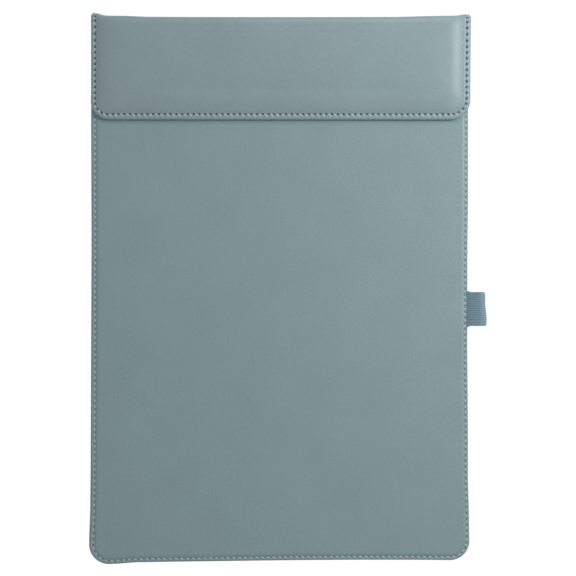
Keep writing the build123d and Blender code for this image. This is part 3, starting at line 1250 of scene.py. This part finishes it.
# The last numbers of each finish set the painted shade in the needle holes and the darkening of the edge,
# part wear and part painted shade.
board_leather = leather_finish(
    "board leatherette", colour(136, 159, 162), strokes=False, depth=0.10,
    hole_size=0.42, hole_shade=0.22, edge_wear_and_shade=0.25, rough=0.45)
flap_finish = leather_finish(
    "flap leatherette", colour(139, 159, 163), strokes=True, depth=0.13,
    hole_size=0.72, hole_shade=0.95, edge_wear_and_shade=0.25, rough=0.40)
lining_finish = leather_finish(
    "lining leatherette", colour(130, 150, 154), strokes=False, depth=0.06,
    hole_size=0.45, hole_shade=0.5, edge_wear_and_shade=0.3, rough=0.5)
print("nodes in the flap's leather:", len(flap_finish.node_tree.nodes))

# %% [markdown]
# Thread is a little lighter than the leather, with a twist. The webbing of the pen loop is
# bluer: its cords run along it in bands, crossed by the picks of the weave. Each has a
# slight sheen, as spun polyester has.

# %% Thread and webbing
def thread_finish():
    """Twisted thread, a little lighter than the leather."""
    finish = Finish("polyester thread")
    place = finish.place(turn=(0, 0, 0.6))
    twist = finish.node("ShaderNodeTexWave", {"bands_direction": "DIAGONAL"},
                        {"Vector": place, "Scale": 1.3, "Distortion": 1.2})
    fuzz = finish.noise(place, 4.0)
    shade = finish.tint(twist * 0.5 + fuzz * 0.5, colour(146, 167, 171), colour(184, 203, 206))
    finish.set("Base Color", shade)
    finish.set("Roughness", 0.55 + fuzz * 0.2)
    finish.set("Normal", finish.bump(twist * 0.6 + fuzz * 0.4, 0.08, 0.7))
    finish.set("Sheen Weight", 0.2)
    return finish.material


def webbing_finish():
    """Woven elastic, with a cord to each rib of the mesh."""
    finish = Finish("elastic webbing")
    place = finish.place()
    weave = finish.node("ShaderNodeTexWave", {"bands_direction": "Y", "wave_profile": "SIN"},
                        {"Vector": place, "Scale": 0.2277, "Distortion": 0.2, "Detail Scale": 2.0})
    picks = finish.node("ShaderNodeTexWave", {"bands_direction": "X"},
                        {"Vector": place, "Scale": 0.75, "Distortion": 0.6})
    fuzz = finish.noise(place, 2.2, 3.0)
    tone = weave * 0.36 + picks * 0.14 + fuzz * 0.5
    finish.set("Base Color", finish.tint(tone, colour(88, 117, 130), colour(140, 168, 181)))
    finish.set("Roughness", 0.72 + fuzz * 0.2)
    finish.set("Normal", finish.bump(picks * 0.35 + fuzz * 0.65, 0.12, 0.7))
    finish.set("Sheen Weight", 0.25)
    return finish.material


thread, webbing = thread_finish(), webbing_finish()
print("finishes:", thread.name, "and", webbing.name)

# %% [markdown]
# The parts inside are never seen while the cover is whole, but they are real parts of the
# model and can be shown alone: fibreboard that stiffens the board and the flap, a plated
# steel strip, and the nickel-plated magnets.

# %% Fibreboard and metal
def fibre_finish():
    """Pressed fibreboard with its fibres lying one way."""
    finish = Finish("raw fibreboard")
    place = finish.place(stretch=(1, 0.35, 1))
    fibres = finish.noise(place, 1.6, 5.0, 0.65)
    clouds = finish.noise(place, 0.05)
    tone = fibres * 0.7 + clouds * 0.3
    finish.set("Base Color", finish.tint(tone, colour(120, 92, 62), colour(186, 154, 116)))
    finish.set("Roughness", 0.75 + fibres * 0.15)
    finish.set("Normal", finish.bump(fibres, 0.08, 0.6))
    return finish.material


def metal_finish(name, dark, light, stretch):
    """Plated metal with fine lines from rolling."""
    finish = Finish(name)
    place = finish.place(stretch=stretch)
    lines = finish.noise(place, 1.2, 4.0, 0.7)
    spots = finish.noise(finish.place(), 0.12, 3.0)
    finish.set("Base Color", finish.tint(lines * 0.6 + spots * 0.4, dark, light))
    finish.set("Roughness", 0.22 + lines * 0.2 + spots * 0.1)
    finish.set("Normal", finish.bump(lines, 0.01, 0.5))
    finish.set("Metallic", 1.0)
    return finish.material


fibre = fibre_finish()
zinc = metal_finish("zinc plate", colour(150, 150, 152), colour(196, 197, 200), (0.05, 1, 1))
nickel = metal_finish("nickel plate", colour(180, 180, 184), colour(222, 222, 226), (1, 1, 1))
print("finishes:", fibre.name, zinc.name, nickel.name)

# %% [markdown]
# Each piece made above gets its finish, and so does each CAD node that is kept as it is.

# %% Dressing the pieces
def dress(piece, material):
    """Gives a piece its one material."""
    piece.data.materials.clear()
    piece.data.materials.append(material)


dressed = [
    (front_leather, board_leather), (back_leather, board_leather),
    (flap_leather, flap_finish), (under_leather, lining_finish),
    (front_thread, thread), (back_thread, thread), (flap_thread, thread),
    (under_thread, thread), (pen_loop, webbing),
]
kept_nodes = [
    ("board_core", fibre), ("flap_board", fibre), ("keeper_plate", zinc),
    ("flap_magnets", nickel), ("pen_loop_tails", webbing),
]
for piece, material in dressed:
    dress(piece, material)
for node, material in kept_nodes:
    dress(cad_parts[node], material)
print("dressed:", len(dressed), "pieces and", len(kept_nodes), "CAD nodes")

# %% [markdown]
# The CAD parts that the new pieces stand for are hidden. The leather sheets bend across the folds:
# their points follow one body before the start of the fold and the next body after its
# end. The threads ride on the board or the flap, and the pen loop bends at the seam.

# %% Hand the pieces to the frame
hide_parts("front_cover", "spine_lining")
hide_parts("back_cover", "spine_leather")
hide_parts("flap_leather", "flap_foam")
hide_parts("flap_lining")
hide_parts("front_stitches")
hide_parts("back_stitches")
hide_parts("flap_stitches")
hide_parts("flap_lining_stitches")
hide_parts("pen_loop")
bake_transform(front_leather, "board", "spine", (0, 0.16425, 0), (0, 0.16465, 0))
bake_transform(back_leather, "board", "spine", (0, 0.1660, 0.00055), (0, 0.16669, 0.00205))
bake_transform(flap_leather, "spine", "flap", (0, 0.1660, 0.0042), (0, 0.1645, 0.0080))
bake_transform(under_leather, "spine", "flap", (0, 0.1650, 0.0033), (0, 0.1650, 0.0042))
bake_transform(pen_loop, "board", "pen_loop", (0.1150, 0, 0), (0.1175, 0, 0))
for piece, body in ((front_thread, "board"), (back_thread, "board"), (flap_thread, "flap"),
                    (under_thread, "flap")):
    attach(piece, body)
print("handed over:", len(dressed), "pieces")

# %% [markdown]
# The photograph was taken from straight above, so the camera looks straight down. It is
# far enough away that the sides of the board don't show, and its lens is chosen so that
# the frame is as wide as the photograph's, 0.352 m at the height of the board's face.

# %% The camera, straight above
camera_height = 1.5
face_height = 0.004
frame_width = 0.3522
bpy.ops.object.camera_add(location=(0.0056, 0.0, camera_height), rotation=(0, 0, 0))
camera = bpy.context.object
camera.data.sensor_width = 36
camera.data.lens = 36 * (camera_height - face_height) / frame_width
camera.data.clip_start = 0.05
camera.data.clip_end = 20
bpy.context.scene.camera = camera
print("lens:", round(camera.data.lens, 1), "mm")

# %% [markdown]
# The photograph has a pure white ground with hardly a shadow. The floor's material shows
# mostly its own white to the camera and in reflections, and everything else that sees it
# meets a plain pale floor. So no extra light falls on the object.

# %% The white floor
start_afresh()
bpy.ops.mesh.primitive_plane_add(size=12, location=(0, 0, -0.0005))
floor = named(bpy.context.object, "floor")


def paper_ground():
    """White to the camera and in reflections, a plain pale floor to everything else."""
    finish = Finish("white ground")
    finish.set("Base Color", (0.8, 0.8, 0.8, 1))
    finish.set("Roughness", 0.9)
    seen = finish.node("ShaderNodeLightPath", output="Is Camera Ray")
    glossy = finish.node("ShaderNodeLightPath", output="Is Glossy Ray")
    through = finish.node("ShaderNodeLightPath", output="Is Transmission Ray")
    glow = finish.node("ShaderNodeEmission", None, {"Color": (1, 1, 1, 1), "Strength": 1.08})
    body = Wire(finish, finish.shader.outputs[0])
    shown = finish.node("ShaderNodeMixShader", None, {0: 0.90, 1: body, 2: glow})
    which = finish.node("ShaderNodeMixShader", None, {0: seen + glossy + through, 1: body, 2: shown})
    surface = finish.tree.nodes["Material Output"].inputs["Surface"]
    finish.join(surface, which)
    return finish.material


dress(floor, paper_ground())
print("floor:", floor.data.materials[0].name)

# %% [markdown]
# The light is soft and comes mostly from all around. A round lamp low at the upper right
# gives the flap its bright right shoulder and the shadow line under its edge, and a weaker
# one beyond the top lights the roll there.

# %% The lamps and the soft room
def lamp(name, place, aim, size, power):
    """A round lamp at a place, turned towards its aim."""
    start_afresh()
    bpy.ops.object.light_add(type="AREA", location=place)
    light = bpy.context.object
    light.name = name
    light.data.shape = "DISK"
    light.data.size = size
    light.data.energy = power
    light.rotation_euler = (Vector(aim) - Vector(place)).to_track_quat("-Z", "Y").to_euler()


lamp("key lamp", (0.44, 0.22, 0.38), (0.12, -0.28, 0), 0.22, 2.05)
lamp("top lamp", (0.12, 0.62, 0.45), (0, 0.1, 0), 0.28, 0.9)
world = bpy.data.worlds.new("soft room")
world.use_nodes = True
background = world.node_tree.nodes["Background"]
background.inputs["Color"].default_value = (1, 1, 1, 1)
background.inputs["Strength"].default_value = 0.44
bpy.context.scene.world = world
bpy.context.scene.view_settings.view_transform = "Standard"
